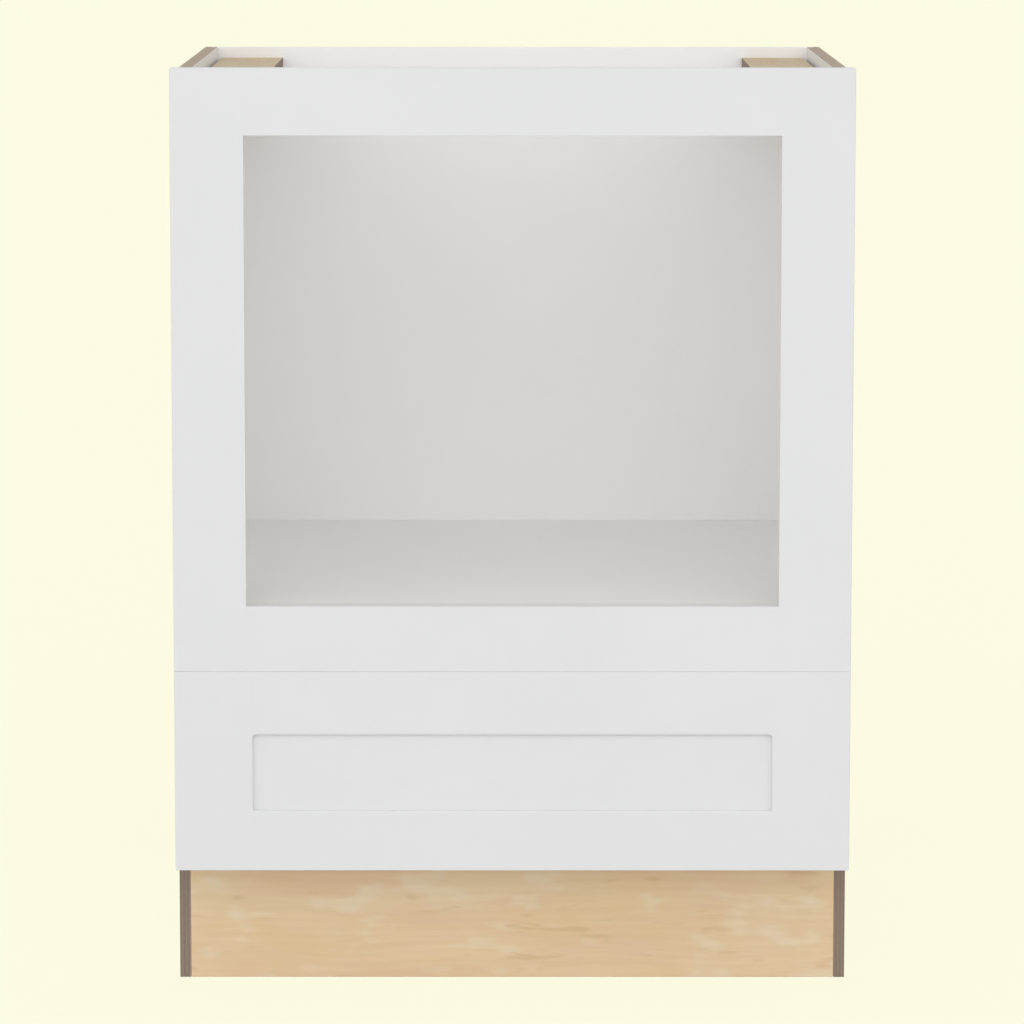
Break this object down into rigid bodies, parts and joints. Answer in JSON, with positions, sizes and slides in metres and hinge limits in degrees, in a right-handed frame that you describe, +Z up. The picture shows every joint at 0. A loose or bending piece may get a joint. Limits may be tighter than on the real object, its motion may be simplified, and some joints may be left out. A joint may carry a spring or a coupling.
{
  "type": "microwave base cabinet",
  "caption": "Open base cabinet for a built-in microwave, with a flat front frame round its opening, a full-extension drawer under the shelf and a recessed toe board.",
  "frame": {"origin": "on the floor, at the centre of the cabinet's bounding box seen from above", "axes": "+Z up; -Y is the front, where the opening and the drawer are; +X is the viewer's right when facing the front"},
  "size_m": [0.639, 0.6096, 0.8763],
  "materials": {
    "white_paint": "satin white paint on solid wood",
    "white_laminate": "white laminate faces on plywood with raw upper and toe edges",
    "maple": "clear satin maple",
    "slide_steel": "bright zinc plate",
    "screw_steel": "yellow zinc plate",
    "clear_rubber": "translucent soft plastic"
  },
  "bodies": {
    "cabinet": {"left_side_panel": "white_laminate", "right_side_panel": "white_laminate", "bottom_panel": "white_laminate", "microwave_shelf": "white_laminate", "back_panel": "white_laminate", "toe_kick_board": "maple", "rear_base_rail": "maple", "front_stretcher": "maple", "shelf_front_rail": "maple", "top_brace_left": "maple", "top_brace_right": "maple", "frame_cleat_left": "maple", "frame_cleat_right": "maple", "frame_top_rail": "white_paint", "frame_bottom_rail": "white_paint", "frame_stile_left": "white_paint", "frame_stile_right": "white_paint", "slide_cabinet_channel_left": "slide_steel", "slide_cabinet_channel_right": "slide_steel", "top_rail_screw_left": "screw_steel", "top_rail_screw_right": "screw_steel", "bottom_rail_screw_left": "screw_steel", "bottom_rail_screw_right": "screw_steel", "stile_screw_lower_left": "screw_steel", "stile_screw_lower_right": "screw_steel", "stile_screw_upper_left": "screw_steel", "stile_screw_upper_right": "screw_steel", "cabinet_slide_screw_front_left": "screw_steel", "cabinet_slide_screw_front_right": "screw_steel", "cabinet_slide_screw_rear_left": "screw_steel", "cabinet_slide_screw_rear_right": "screw_steel"},
    "drawer": {"drawer_front_panel": "white_paint", "drawer_front_top_rail": "white_paint", "drawer_front_bottom_rail": "white_paint", "drawer_front_stile_left": "white_paint", "drawer_front_stile_right": "white_paint", "drawer_bumper_left": "clear_rubber", "drawer_bumper_right": "clear_rubber", "drawer_bottom": "maple", "drawer_box_front": "maple", "drawer_box_back": "maple", "drawer_side_left": "maple", "drawer_side_right": "maple", "slide_drawer_channel_left": "slide_steel", "slide_drawer_channel_right": "slide_steel", "drawer_front_screw_lower_left": "screw_steel", "drawer_front_screw_lower_right": "screw_steel", "drawer_front_screw_upper_left": "screw_steel", "drawer_front_screw_upper_right": "screw_steel", "drawer_slide_screw_front_left": "screw_steel", "drawer_slide_screw_front_right": "screw_steel", "drawer_slide_screw_rear_left": "screw_steel", "drawer_slide_screw_rear_right": "screw_steel"},
    "left_middle_channel": {"slide_middle_channel_left": "slide_steel"},
    "right_middle_channel": {"slide_middle_channel_right": "slide_steel"},
    "left_outer_cage": {"slide_outer_cage_left": "slide_steel"},
    "right_outer_cage": {"slide_outer_cage_right": "slide_steel"},
    "left_inner_cage": {"slide_inner_cage_left": "slide_steel"},
    "right_inner_cage": {"slide_inner_cage_right": "slide_steel"}
  },
  "joints": [
    {"name": "drawer_slide", "type": "slide", "parent": "cabinet", "child": "drawer", "axis": [0, -1, 0], "range_m": [0, 0.5]},
    {"name": "left_middle_slide", "type": "slide", "parent": "cabinet", "child": "left_middle_channel", "axis": [0, -1, 0], "range_m": [0, 0.25]},
    {"name": "right_middle_slide", "type": "slide", "parent": "cabinet", "child": "right_middle_channel", "axis": [0, -1, 0], "range_m": [0, 0.25]},
    {"name": "left_outer_cage_roll", "type": "slide", "parent": "cabinet", "child": "left_outer_cage", "axis": [0, -1, 0], "range_m": [0, 0.125]},
    {"name": "right_outer_cage_roll", "type": "slide", "parent": "cabinet", "child": "right_outer_cage", "axis": [0, -1, 0], "range_m": [0, 0.125]},
    {"name": "left_inner_cage_roll", "type": "slide", "parent": "cabinet", "child": "left_inner_cage", "axis": [0, -1, 0], "range_m": [0, 0.375]},
    {"name": "right_inner_cage_roll", "type": "slide", "parent": "cabinet", "child": "right_inner_cage", "axis": [0, -1, 0], "range_m": [0, 0.375]}
  ],
  "couplings": [
    {"joint": "left_middle_slide", "follows": "drawer_slide", "ratio": 0.5},
    {"joint": "right_middle_slide", "follows": "drawer_slide", "ratio": 0.5},
    {"joint": "left_outer_cage_roll", "follows": "drawer_slide", "ratio": 0.25},
    {"joint": "right_outer_cage_roll", "follows": "drawer_slide", "ratio": 0.25},
    {"joint": "left_inner_cage_roll", "follows": "drawer_slide", "ratio": 0.75},
    {"joint": "right_inner_cage_roll", "follows": "drawer_slide", "ratio": 0.75}
  ]
}
